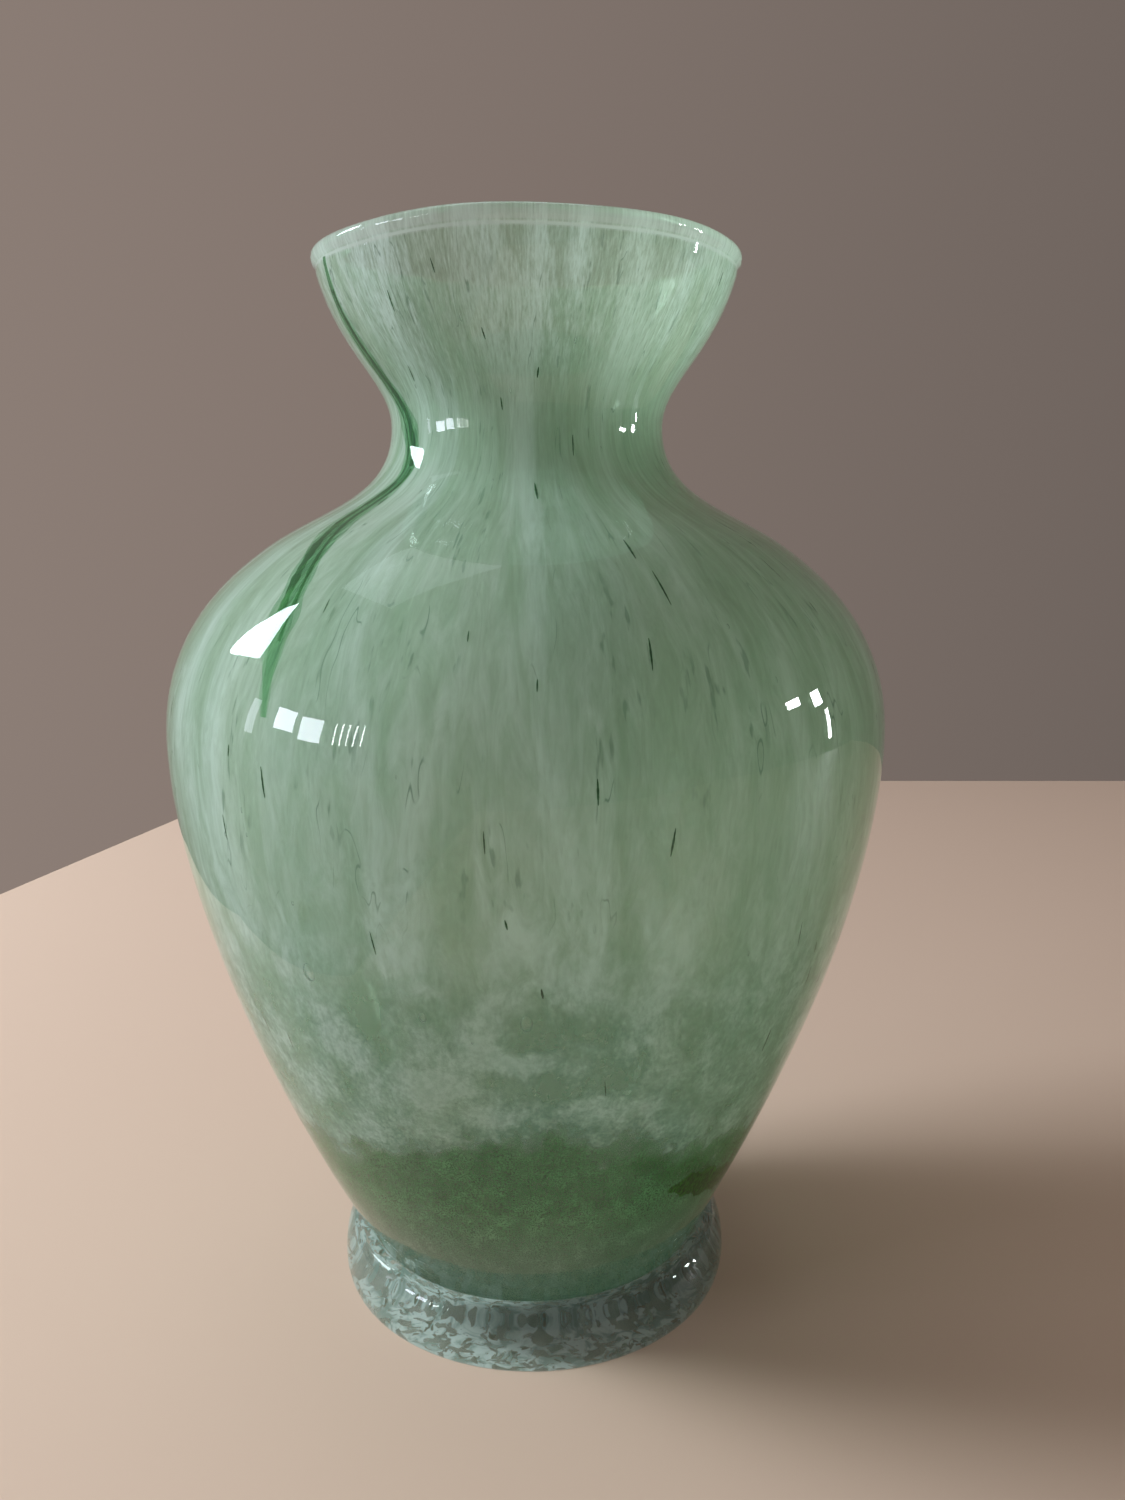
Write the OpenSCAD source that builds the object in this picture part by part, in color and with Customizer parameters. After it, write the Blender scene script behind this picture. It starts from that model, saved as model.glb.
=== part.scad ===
// Hand blown art glass vase on an applied clear foot.
// The wall is cased glass: a clear lining, a green ground, a pale frit layer with
// dark pieces in it, and a clear outer casing that closes over the lip.
// Every layer is measured inwards from one outline, so the layers meet face to face.

/* [Vase] */
// Overall height, from the table to the crest of the lip
total_h = 252; // [242:1:262]
// Outer diameter at the lip
lip_d = 96; // [90:1:102]
// Outer diameter at the narrowest part of the neck
neck_d = 63; // [58:1:68]
// Outer diameter at the belly
belly_d = 169; // [160:1:178]
// Outer diameter where the body meets the foot
waist_d = 86; // [82:1:90]

/* [Foot] */
// Largest diameter of the foot
foot_d = 100; // [97:0.5:104]
// Height of the foot at its crest
foot_h = 15; // [14:0.5:17]
// Diameter of the polished pontil mark under the foot
pontil_d = 34; // [24:1:44]
// Depth of the pontil mark
pontil_depth = 1.5; // [0.8:0.1:2]

/* [Glass] */
// Thickness of the wall at the lip
lip_t = 3.2; // [2.8:0.1:4]
// Thickness of the wall at the neck
neck_t = 4.2; // [3.6:0.1:5]
// Thickness of the wall at the belly
belly_t = 3.2; // [2.8:0.1:4]
// Thickness of the wall just above the foot
waist_t = 6.5; // [5:0.1:8]
// Thickness of the bubble's floor on the axis
floor_t = 9; // [7:0.5:11]
// Height of the clear band at the lip, above the colour, with the rounding as its least
clear_lip = 2; // [2:0.5:8]
// Height at which the pale frit ends and the green ground takes its place
pale_end_z = 66; // [52:1:77]

/* [Dark pieces] */
// Width of the dark trail where it crosses the shoulder
trail_w = 6; // [3:0.5:8]
// Number of dark flecks in the pale frit
fleck_count = 26; // [12:1:36]
// Length of the dark flecks, drawn out up the wall
fleck_l = 6; // [4:0.5:9]

/* [Hidden] */
$fn = 96;

// Angles of the outline from upright, where it leaves the foot, turns and ends.
waist_flare = 28;
shoulder_flare = 54.5;
lip_flare = 12;

// Stations of the outline, as [radius, height].
base_z = 6.5;
waist_z = foot_h - 1.4;
belly_z = 0.5695 * total_h;
neck_z = 0.8472 * total_h;
top_z = total_h - lip_t / 2 * (1 + sin(lip_flare));
body_rise = belly_z - waist_z;
shoulder_rise = neck_z - belly_z;
flare_rise = top_z - neck_z;
base_p = [0, base_z];
waist_p = [waist_d / 2, waist_z];
belly_p = [belly_d / 2, belly_z];
neck_p = [neck_d / 2, neck_z];
lip_p = [lip_d / 2, top_z];
shoulder_p = neck_p + [0.548 * (belly_p.x - neck_p.x), -0.393 * shoulder_rise];

// Directions of the outline at its stations, as unit vectors that point up the wall.
up = [0, 1];
out = [1, 0];
waist_dir = [sin(waist_flare), cos(waist_flare)];
shoulder_dir = [-sin(shoulder_flare), cos(shoulder_flare)];
lip_dir = [sin(lip_flare), cos(lip_flare)];

// Shares of the wall's thickness, from the outside in, where one layer meets the next.
casing_share = 0.55;
pale_share = 0.65;
ground_share = 0.75;

// Steps in each stretch of the outline.
base_steps = 10;
body_steps = 26;
shoulder_steps = 12;
throat_steps = 12;
flare_steps = 12;

function bezier(a, b, c, d, steps) =
    [for (i = [1:steps]) let (t = i / steps, s = 1 - t)
        s^3 * a + 3 * s^2 * t * b + 3 * s * t^2 * c + t^3 * d];

// The outer outline, from the axis under the bubble up to the lip.
outline = concat(
    [base_p],
    bezier(base_p, base_p + 26 * out, waist_p - 7 * waist_dir, waist_p, base_steps),
    bezier(waist_p, waist_p + 0.33 * body_rise * waist_dir,
           belly_p - 0.295 * body_rise * up, belly_p, body_steps),
    bezier(belly_p, belly_p + 0.336 * shoulder_rise * up,
           shoulder_p - 0.171 * shoulder_rise * shoulder_dir, shoulder_p, shoulder_steps),
    bezier(shoulder_p, shoulder_p + 0.22 * shoulder_rise * shoulder_dir,
           neck_p - 0.236 * shoulder_rise * up, neck_p, throat_steps),
    bezier(neck_p, neck_p + 0.29 * flare_rise * up,
           lip_p - 0.55 * flare_rise * lip_dir, lip_p, flare_steps)
);
last = len(outline) - 1;

// First point of the outline at or above a height, counted from the waist up.
function index_at(z) = min([for (i = [base_steps:last]) if (outline[i].y >= z) i]);

// Inward unit normal at a point of the outline.
function tangent(i) =
    i == 0 ? out : i == last ? lip_dir : outline[i + 1] - outline[i - 1];
function inward(i) = let (t = tangent(i) / norm(tangent(i))) [-t.y, t.x];

// Wall thickness at a height.
function wall_t(z) = lookup(z, [
    [base_z, floor_t], [waist_z, waist_t], [waist_z + 45, belly_t + 0.9],
    [belly_z, belly_t], [shoulder_p.y, belly_t + 0.4], [neck_z, neck_t],
    [top_z, lip_t]
]);

// A stretch of the surface that lies a share of the way through the wall.
function skin(share, from, to) =
    [for (i = [from:to]) outline[i] + share * wall_t(outline[i].y) * inward(i)];
function reversed(list) = [for (i = [len(list) - 1:-1:0]) list[i]];

// Section of a layer between two shares of the wall, over a stretch of the outline.
module layer_section(outer, inner, from, to) {
    polygon(concat(skin(outer, from, to), reversed(skin(inner, from, to))));
}

colour_top = index_at(min(total_h - clear_lip, top_z));
pale_end = index_at(pale_end_z);

// The band of wall that the pale frit fills, and the piece of it behind a flat shape.
// The shape is drawn as [distance to the right, height], seen from outside.
module pale_band() {
    rotate_extrude()
        layer_section(casing_share, pale_share, pale_end, colour_top);
}

module punch(turn, points) {
    rotate([90, 0, turn + 90])
        linear_extrude(height = belly_d)
            polygon(points);
}

// First gather: the clear bubble that holds the water.
module clear_lining() {
    color([0.86, 0.93, 0.89, 0.35])
        rotate_extrude()
            layer_section(ground_share, 1, 0, colour_top);
}

// Transparent green glass over the lining, thicker below the pale frit.
module green_ground() {
    color([0.30, 0.47, 0.30, 0.8])
        difference() {
            rotate_extrude()
                polygon(concat(
                    skin(casing_share, 0, pale_end),
                    skin(pale_share, pale_end, colour_top),
                    reversed(skin(ground_share, 0, colour_top))));
            chip_solid();
        }
}

// Frit of pale green and white, melted in long upright flecks.
module pale_frit() {
    color([0.62, 0.75, 0.65, 0.9])
        difference() {
            pale_band();
            trail_punch();
            fleck_punches();
        }
}

// The trail leans round the wall as it rises, and is narrow where the neck was drawn in.
// Each row: height, angle round the axis, width as a share of the trail's full width.
trail_view = 218;
trail_rows = [
    [belly_z + 10, 234, 0.10], [belly_z + 25, 232, 0.45], [belly_z + 38, 228, 0.85],
    [belly_z + 45, 223, 1.00], [neck_z - 20, 218, 0.70], [neck_z - 10, 220, 0.50],
    [neck_z, 212, 0.45], [neck_z + 9, 204, 0.50], [neck_z + 22, 203, 0.45],
    [total_h, 206, 0.30]
];
outline_r = [for (i = [base_steps:last]) [outline[i].y, outline[i].x]];
function trail_x(row) = lookup(row[0], outline_r) * sin(row[1] - trail_view);

module trail_punch() {
    punch(trail_view, concat(
        [for (row = trail_rows) [trail_x(row) + trail_w * row[2] / 2, row[0]]],
        reversed([for (row = trail_rows) [trail_x(row) - trail_w * row[2] / 2, row[0]]])));
}

module dark_trail() {
    color([0.10, 0.32, 0.15, 0.95])
        intersection() {
            pale_band();
            trail_punch();
        }
}

// One large chip of dark frit, low on the right of the front.
chip_turn = 316;
chip_z = 42;
chip_shape = [[-11, 3], [-8, 0], [-3, -3], [4, -6], [10, -8], [15, -8], [13, -3], [6, 2], [-1, 6], [-7, 5]];

module chip_solid() {
    intersection() {
        rotate_extrude()
            layer_section(casing_share, pale_share, base_steps, pale_end);
        punch(chip_turn, [for (p = chip_shape) p + [0, chip_z]]);
    }
}

module dark_chip() {
    color([0.08, 0.25, 0.06, 0.95]) chip_solid();
}

// Small flecks of dark frit, drawn out upwards and spread by the golden angle.
golden_angle = 137.508;
first_turn = 11;
fleck_w = 1.6;
fleck_low = pale_end_z + fleck_l;
fleck_high = shoulder_p.y - fleck_l;
trail_margin = 8;

function fleck_z(k) = fleck_low + (fleck_high - fleck_low) * k / fleck_count;
function fleck_turn(k) = (k * golden_angle + first_turn) % 360;
function trail_turn(z) = lookup(z, [for (row = trail_rows) [row[0], row[1]]]);
function clear_of_trail(k) =
    fleck_z(k) < belly_z || abs(fleck_turn(k) - trail_turn(fleck_z(k))) > trail_margin;

module fleck_punches() {
    for (k = [0:fleck_count - 1])
        if (clear_of_trail(k))
            punch(fleck_turn(k), [[0, fleck_z(k) - fleck_l / 2], [fleck_w / 2, fleck_z(k)],
                                  [0, fleck_z(k) + fleck_l / 2], [-fleck_w / 2, fleck_z(k)]]);
}

module dark_flecks() {
    color([0.12, 0.28, 0.14, 0.95])
        intersection() {
            pale_band();
            fleck_punches();
        }
}

// Second gather: clear glass over the colour, fire polished into a round lip.
lip_steps = 8;
lip_mid = lip_p + lip_t / 2 * inward(last);
lip_round = [for (i = [1:lip_steps - 1]) let (a = 180 * i / lip_steps)
    lip_mid + lip_t / 2 * (sin(a) * lip_dir - cos(a) * inward(last))];

module outer_casing() {
    color([0.88, 0.95, 0.91, 0.3])
        rotate_extrude()
            polygon(concat(
                skin(0, 0, last), lip_round, reversed(skin(1, colour_top, last)),
                reversed(skin(casing_share, 0, colour_top))));
}

// Applied foot: a solid clear disc with a bulging edge, a crease where it meets the
// body, and a pontil mark ground into its underside.
edge_z = 4.5;
edge_in = 1.6;
crest_r = waist_p.x + 2.6;
foot_arc_steps = 12;
pontil_steps = 8;
quarter = [for (i = [1:foot_arc_steps]) 90 * i / foot_arc_steps];

module clear_foot() {
    foot_r = foot_d / 2;
    pontil_r = pontil_d / 2;
    dome_r = (pontil_r^2 + pontil_depth^2) / (2 * pontil_depth);
    pontil = [for (i = [0:pontil_steps]) let (r = pontil_r * i / pontil_steps)
        [r, pontil_depth - dome_r + sqrt(dome_r^2 - r^2)]];
    under_edge = [for (a = quarter)
        [foot_r - edge_in * (1 - sin(a)), edge_z * (1 - cos(a))]];
    upper_edge = [for (a = quarter)
        [crest_r + (foot_r - crest_r) * cos(a), edge_z + (foot_h - edge_z) * sin(a)]];
    crease = [for (a = quarter)
        [crest_r - (crest_r - waist_p.x) * sin(a), foot_h - (foot_h - waist_z) * (1 - cos(a))]];
    color([0.80, 0.88, 0.85, 0.35])
        rotate_extrude()
            polygon(concat(
                pontil, [[foot_r - edge_in, 0]], under_edge, upper_edge, crease,
                reversed([for (i = [0:base_steps - 1]) outline[i]])));
}

clear_lining();
green_ground();
pale_frit();
dark_flecks();
dark_trail();
dark_chip();
outer_casing();
clear_foot();
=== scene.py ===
import math
import random

import bpy
import numpy as np
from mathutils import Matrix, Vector


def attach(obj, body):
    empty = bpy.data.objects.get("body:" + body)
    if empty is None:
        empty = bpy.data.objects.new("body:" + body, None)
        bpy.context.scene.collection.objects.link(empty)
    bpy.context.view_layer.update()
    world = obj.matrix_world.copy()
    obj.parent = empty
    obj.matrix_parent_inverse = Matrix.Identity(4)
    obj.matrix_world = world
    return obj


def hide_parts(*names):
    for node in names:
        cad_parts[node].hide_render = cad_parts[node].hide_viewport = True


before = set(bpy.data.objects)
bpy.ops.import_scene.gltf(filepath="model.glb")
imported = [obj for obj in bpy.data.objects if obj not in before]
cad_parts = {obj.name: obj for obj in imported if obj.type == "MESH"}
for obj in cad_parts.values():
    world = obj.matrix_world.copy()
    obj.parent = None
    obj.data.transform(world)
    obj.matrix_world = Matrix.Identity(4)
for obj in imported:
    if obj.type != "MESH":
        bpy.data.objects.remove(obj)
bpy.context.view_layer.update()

# A hand blown art glass vase. Its wall is cased: from the inside out, a clear lining, a green
# ground, pale frit drawn out in streaks with dark pieces on it, and a clear outer casing that
# closes over the lip. A clear foot is fused on below. Shapes are worked out in millimetres.

MM = 0.001
MM_PER_METRE = 1000.0
random.seed(11)

# ---------------------------------------------------------------- the vase's outline

TOTAL_H = 252.0
LIP_R, NECK_R, BELLY_R, WAIST_R = 48.0, 31.5, 84.5, 43.0
LIP_T = 3.2
FOOT_H = 15.0
# The body's underside on the axis, and how far below the foot's crest the body leaves it.
BASE_Z, WAIST_DROP = 6.5, 1.4
# Angles from upright, in degrees, where the outline leaves the foot, turns and ends.
WAIST_FLARE, SHOULDER_FLARE, LIP_FLARE = 28, 54.5, 12

# Stations of the outline, as [radius, height].
BASE = np.array([0.0, BASE_Z])
WAIST = np.array([WAIST_R, FOOT_H - WAIST_DROP])
BELLY = np.array([BELLY_R, 0.5695 * TOTAL_H])
NECK = np.array([NECK_R, 0.8472 * TOTAL_H])
LIP = np.array([LIP_R, TOTAL_H - LIP_T / 2 * (1 + math.sin(math.radians(LIP_FLARE)))])
SHOULDER = NECK + np.array([0.548 * (BELLY_R - NECK_R), -0.393 * (NECK[1] - BELLY[1])])


def heading(degrees):
    """Unit vector that leans outwards by an angle from upright."""
    return np.array([math.sin(math.radians(degrees)), math.cos(math.radians(degrees))])


def bezier(a, b, c, d, steps, crowd=1.0):
    """Points of a curve; a crowd over 1 packs them towards its end."""
    s = (1 - np.arange(1, steps + 1) / steps)[:, None]**crowd
    t = 1 - s
    return s**3 * a + 3 * s**2 * t * b + 3 * s * t**2 * c + t**3 * d


UP = heading(0)
OUT = heading(90)
WAIST_WAY, SHOULDER_WAY, LIP_WAY = heading(WAIST_FLARE), heading(-SHOULDER_FLARE), heading(LIP_FLARE)
BODY_RISE = BELLY[1] - WAIST[1]
SHOULDER_RISE = NECK[1] - BELLY[1]
FLARE_RISE = LIP[1] - NECK[1]
BASE_STEPS, BODY_STEPS, BEND_STEPS, FLARE_STEPS = 14, 44, 20, 34
OUTLINE = np.vstack([
    [BASE],
    bezier(BASE, BASE + 26 * OUT, WAIST - 7 * WAIST_WAY, WAIST, BASE_STEPS),
    bezier(WAIST, WAIST + 0.33 * BODY_RISE * WAIST_WAY,
           BELLY - 0.295 * BODY_RISE * UP, BELLY, BODY_STEPS),
    bezier(BELLY, BELLY + 0.336 * SHOULDER_RISE * UP,
           SHOULDER - 0.171 * SHOULDER_RISE * SHOULDER_WAY, SHOULDER, BEND_STEPS),
    bezier(SHOULDER, SHOULDER + 0.22 * SHOULDER_RISE * SHOULDER_WAY,
           NECK - 0.236 * SHOULDER_RISE * UP, NECK, BEND_STEPS),
    bezier(NECK, NECK + 0.29 * FLARE_RISE * UP,
           LIP - 0.55 * FLARE_RISE * LIP_WAY, LIP, FLARE_STEPS, crowd=1.5),
])
LAST = len(OUTLINE) - 1

# Thickness of the wall at heights on the outline.
WALL_AT = [BASE[1], WAIST[1], WAIST[1] + 45, BELLY[1], SHOULDER[1], NECK[1], LIP[1]]
WALL_T = [9.0, 6.5, 4.1, 3.2, 3.6, 4.2, LIP_T]

# Length along the outline, counted from the waist, below which it is negative.
STEPS_LONG = np.linalg.norm(np.diff(OUTLINE, axis=0), axis=1)
ARC = np.concatenate([[0], np.cumsum(STEPS_LONG)])
ARC -= ARC[BASE_STEPS]

# The glass was drawn out as it was blown: patterns are round low on the body and stretched
# into long streaks above. GRAIN is a place along the outline as the pattern sees it.
STRETCH_AT = [-60, 55, 90, 125, 215, 235, 290]
STRETCH = [1.0, 0.9, 0.55, 0.20, 0.16, 0.24, 0.26]
GRAIN_R = 65.0
GRAIN = np.concatenate([[0], np.cumsum(STEPS_LONG * np.interp(ARC[1:], STRETCH_AT, STRETCH))])
GRAIN /= GRAIN_R


def inward():
    """Unit normals of the outline that point into the wall."""
    tangent = np.gradient(OUTLINE, axis=0)
    tangent[0] = OUT
    tangent[-1] = LIP_WAY
    tangent /= np.linalg.norm(tangent, axis=1)[:, None]
    return np.stack([-tangent[:, 1], tangent[:, 0]], axis=1)


INWARD = inward()
THICKNESS = np.interp(OUTLINE[:, 1], WALL_AT, WALL_T)

# Shares of the wall, from the outside in, where the layers lie.
CASING_IN = 0.53
CORE = (0.535, 0.546)
HAZES = [(0.549, 0.552), (0.553, 0.556), (0.557, 0.560)]
FRIT_OUT, FRIT_IN = 0.565, 0.64
GROUND_OUT, GROUND_LOW_OUT, GROUND_IN = 0.66, 0.565, 0.74
LINING_OUT = 0.75


def skin(share, first, last):
    """Rows of [radius, height, grain] at a share of the way through the wall."""
    rows = OUTLINE + (share * THICKNESS)[:, None] * INWARD
    rows[0, 0] = 0.0
    return np.column_stack([rows, GRAIN])[first:last + 1]


def index_at(z):
    """First row of the outline at or above a height, from the waist up."""
    return BASE_STEPS + int(np.argmax(OUTLINE[BASE_STEPS:, 1] >= z))


def at_height(values, z):
    """Value of a per-row list at a height on the wall."""
    return np.interp(z, OUTLINE[BASE_STEPS:, 1], values[BASE_STEPS:])


# ---------------------------------------------------------------- meshes

COLUMNS = 224


def smoothstep(low, high, x):
    t = np.clip((x - low) / (high - low), 0, 1)
    return t * t * (3 - 2 * t)


def warp(angle, r, z):
    """Places points, with the slight irregularity of work done by hand."""
    body = smoothstep(10, 60, z)
    mouth = smoothstep(200, 250, z)
    r = r * (1 + 0.0030 * body * np.sin(2 * angle + 0.9) + 0.0018 * body * np.sin(3 * angle + z / 40))
    r = r * (1 + 0.0060 * mouth * np.sin(2 * angle + 2.3) + 0.0035 * mouth * np.sin(5 * angle + 1.0))
    r = r + 0.05 * smoothstep(20, 40, z) * np.sin(7 * angle + z / 9) * np.minimum(r / 40, 1)
    foot = 1 - smoothstep(4, 40, z)
    x = r * np.cos(angle) + 0.8 * foot
    y = r * np.sin(angle)
    rim = 0.45 * np.sin(2 * angle + 3.6) + 0.30 * np.sin(3 * angle + 0.8) + 0.16 * np.sin(6 * angle)
    z = z + mouth * (rim - 0.7)
    return np.stack([x, y, z], axis=-1) * MM


def add_attribute(mesh, name, rows):
    layer = mesh.attributes.new(name, "FLOAT_VECTOR", "POINT")
    layer.data.foreach_set("vector", np.asarray(rows, np.float32).ravel())


def signed_volume(points, faces):
    """Positive for faces that look outwards."""
    corners = np.array([(f[0], f[k], f[k + 1]) for f in faces for k in range(1, len(f) - 1)])
    a, b, c = (points[corners[:, i]] for i in range(3))
    return float(np.einsum("ij,ij->", a, np.cross(b, c)))


def flipped(faces):
    return [tuple(reversed(face)) for face in faces]


def make_piece(name, points, faces, slots, flow, materials, node, slot, sharp=40):
    """Makes an object of a closed mesh, with its faces turned outwards."""
    if signed_volume(points, faces) < 0:
        faces = flipped(faces)
    mesh = bpy.data.meshes.new(name)
    mesh.from_pydata(points.tolist(), [], faces)
    for material in materials:
        mesh.materials.append(material)
    mesh.polygons.foreach_set("material_index", np.asarray(slots, np.int32))
    mesh.polygons.foreach_set("use_smooth", np.ones(len(faces), bool))
    add_attribute(mesh, "flow", flow)
    mesh.update()
    mesh.set_sharp_from_angle(angle=math.radians(sharp))
    piece = bpy.data.objects.new(name, mesh)
    bpy.context.scene.collection.objects.link(piece)
    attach(piece, "root")
    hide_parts(node)


def lathe(path, slots, ring=False):
    """Turns rows of [radius, height, grain] round the axis.

    slots holds a material slot for each stretch between rows. Rows at radius 0 close the
    shape at the axis; a ring closes from its last row back to its first.
    """
    angle = np.arange(COLUMNS) * 2 * math.pi / COLUMNS
    points, flow, starts = [], [], []
    count = 0
    for r, z, grain in path:
        turns = angle if r > 1e-6 else angle[:1]
        starts.append((count, len(turns)))
        points.append(warp(turns, np.full(len(turns), r), np.full(len(turns), z)))
        flow.append(np.stack([np.cos(turns), np.sin(turns), np.full(len(turns), grain)], axis=-1))
        count += len(turns)
    faces, face_slots = [], []
    pairs = [(i, i + 1) for i in range(len(path) - 1)]
    if ring:
        pairs.append((len(path) - 1, 0))
    for k, (i, j) in enumerate(pairs):
        (a, na), (b, nb) = starts[i], starts[j]
        for c in range(COLUMNS):
            d = (c + 1) % COLUMNS
            if na == 1:
                faces.append((a, b + d, b + c))
            elif nb == 1:
                faces.append((a + c, a + d, b))
            else:
                faces.append((a + c, a + d, b + d, b + c))
            face_slots.append(slots[k])
    return np.vstack(points), faces, face_slots, np.vstack(flow)


def joined(shapes):
    """One shape from several, each given as (points, faces, slots, flow)."""
    points, faces, slots, flow = [], [], [], []
    count = 0
    for p, f, s, w in shapes:
        points.append(p)
        faces += [tuple(i + count for i in face) for face in f]
        slots += list(s)
        flow.append(w)
        count += len(p)
    return np.vstack(points), faces, slots, np.vstack(flow)


def place_in_wall(angle, z, share):
    """A point at an angle and height, a share of the way through the wall."""
    r = at_height(OUTLINE[:, 0] + share * THICKNESS * INWARD[:, 0], z)
    dz = share * at_height(THICKNESS * INWARD[:, 1], z)
    return warp(np.asarray(angle), np.asarray(r), np.asarray(z + dz))


# ---------------------------------------------------------------- shader helpers

class Nodes:
    """Short calls for the nodes of a tree. Values may be numbers or sockets."""

    def __init__(self, tree):
        self.tree = tree

    def put(self, socket, value):
        if isinstance(value, bpy.types.NodeSocket):
            self.tree.links.new(value, socket)
        elif isinstance(value, (tuple, list)) and len(value) == 3 and socket.type == "RGBA":
            socket.default_value = (*value, 1.0)
        else:
            socket.default_value = value

    def node(self, kind, inputs=(), **settings):
        made = self.tree.nodes.new(kind)
        for key, value in settings.items():
            setattr(made, key, value)
        for key, value in dict(inputs).items():
            self.put(made.inputs[key], value)
        return made

    def noise(self, vector, scale, detail=2.0, roughness=0.5, distortion=0.0):
        made = self.node("ShaderNodeTexNoise", {
            "Vector": vector, "Scale": scale, "Detail": detail,
            "Roughness": roughness, "Distortion": distortion})
        return made.outputs[0]

    def math(self, operation, a, b=0.0, c=0.0, clamp=False):
        made = self.node("ShaderNodeMath", operation=operation, use_clamp=clamp)
        for socket, value in zip(made.inputs, (a, b, c)):
            self.put(socket, value)
        return made.outputs[0]

    def vector(self, operation, *values):
        made = self.node("ShaderNodeVectorMath", operation=operation)
        for socket, value in zip(made.inputs, values):
            self.put(socket, value)
        return made.outputs["Value" if operation == "DOT_PRODUCT" else "Vector"]

    def part(self, vector, axis):
        """One of the three numbers of a vector."""
        return self.node("ShaderNodeSeparateXYZ", {"Vector": vector}).outputs[axis]

    def band(self, value, low, high, to_low=0.0, to_high=1.0):
        """Smooth change from to_low to to_high as value goes from low to high."""
        made = self.node("ShaderNodeMapRange", interpolation_type="SMOOTHSTEP", inputs={
            "Value": value, "From Min": low, "From Max": high,
            "To Min": to_low, "To Max": to_high})
        return made.outputs[0]

    def blend(self, share, a, b):
        """Colour a to colour b."""
        made = self.node("ShaderNodeMix", data_type="RGBA")
        self.put(made.inputs["Factor"], share)
        self.put(made.inputs[6], a)
        self.put(made.inputs[7], b)
        return made.outputs[2]


class Shader(Nodes):
    """A material that ends in one surface shader."""

    def __init__(self, name):
        self.material = bpy.data.materials.new(name)
        self.material.use_nodes = True
        super().__init__(self.material.node_tree)
        self.tree.nodes.clear()
        self.out = self.node("ShaderNodeOutputMaterial")

    def place(self):
        """Where a point is, in metres."""
        return self.node("ShaderNodeTexCoord").outputs["Object"]

    def height(self):
        """Height above the table in millimetres."""
        return self.math("MULTIPLY", self.part(self.place(), "Z"), MM_PER_METRE)

    def raw_flow(self):
        return self.node("ShaderNodeAttribute", attribute_name="flow").outputs["Vector"]

    def flow(self, around=1.0, along=1.0, shift=0.0):
        """Pattern space: once round the vase, and along the way the glass was drawn."""
        return self.vector("MULTIPLY_ADD", self.raw_flow(), (around, around, along), (shift, shift, shift))

    def below_lip(self):
        """Distance down the wall from the lip in millimetres, near the lip."""
        per_mm = GRAIN_R / STRETCH[-1]
        grain = self.part(self.raw_flow(), "Z")
        return self.math("MULTIPLY_ADD", grain, -per_mm, float(GRAIN[LAST]) * per_mm)

    def shaders(self, share, a, b):
        made = self.node("ShaderNodeMixShader")
        self.put(made.inputs[0], share)
        self.put(made.inputs[1], a)
        self.put(made.inputs[2], b)
        return made.outputs[0]

    def done(self, surface):
        self.tree.links.new(surface, self.out.inputs["Surface"])
        return self.material


def polished_glass(name, tint, through, ripple=0.0):
    """A fire-polished skin of solid glass. Lamps and bounced light pass straight through it."""
    s = Shader(name)
    glass = s.node("ShaderNodeBsdfGlass", {"Color": tint, "Roughness": 0.0, "IOR": 1.5})
    if ripple:
        waves = s.noise(s.flow(1, 1), 7.0, 1.0, 0.4)
        bump = s.node("ShaderNodeBump", {"Strength": 1.0, "Distance": ripple, "Height": waves})
        s.put(glass.inputs["Normal"], bump.outputs[0])
    clear = s.node("ShaderNodeBsdfTransparent", {"Color": through})
    ray = s.node("ShaderNodeLightPath")
    surface = glass.outputs[0]
    for kind in ("Is Shadow Ray", "Is Diffuse Ray"):
        surface = s.shaders(ray.outputs[kind], surface, clear.outputs[0])
    return s.done(surface)


def fused_face():
    """Where two layers of glass are fused nothing is seen."""
    s = Shader("fused_face")
    clear = s.node("ShaderNodeBsdfTransparent", {"Color": (1.0, 1.0, 1.0)})
    return s.done(clear.outputs[0])


def cloudy(s, colour, coverage, tint, glow=0.5, silver=None):
    """Pigmented glass: coverage is the share of light that it scatters, glow how much of that
    passes on to the other side, and tint the colour of what comes straight through.
    Silver is the share that shines like the air trapped against a rough face."""
    near = s.node("ShaderNodeBsdfDiffuse", {"Color": colour})
    far = s.node("ShaderNodeBsdfTranslucent", {"Color": colour})
    body = s.shaders(glow, near.outputs[0], far.outputs[0])
    clear = s.node("ShaderNodeBsdfTransparent", {"Color": tint})
    if silver is not None:
        shine = s.node("ShaderNodeBsdfGlossy", {"Color": (0.92, 0.97, 0.98), "Roughness": 0.15})
        body = s.shaders(silver, body, shine.outputs[0])
    return s.done(s.shaders(coverage, clear.outputs[0], body))


def wandering(s, vector, amount, scale=3.0):
    """Pattern space that drifts gently from side to side."""
    drift = s.node("ShaderNodeTexNoise", {"Vector": vector, "Scale": scale, "Detail": 2.0})
    return s.vector("MULTIPLY_ADD", drift.outputs["Color"], (amount, amount, amount), vector)


def veins(s, vector, scale, width, mask_scale, mask_from):
    """Thin dark lines along the drawn glass, broken into lengths."""
    field = s.noise(vector, scale, 2.0, 0.55)
    off = s.math("ABSOLUTE", s.math("SUBTRACT", field, 0.5))
    line = s.band(off, width, 0.0)
    gate = s.band(s.noise(vector, mask_scale, 1.0), mask_from, mask_from + 0.08)
    return s.math("MULTIPLY", line, gate)


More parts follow.
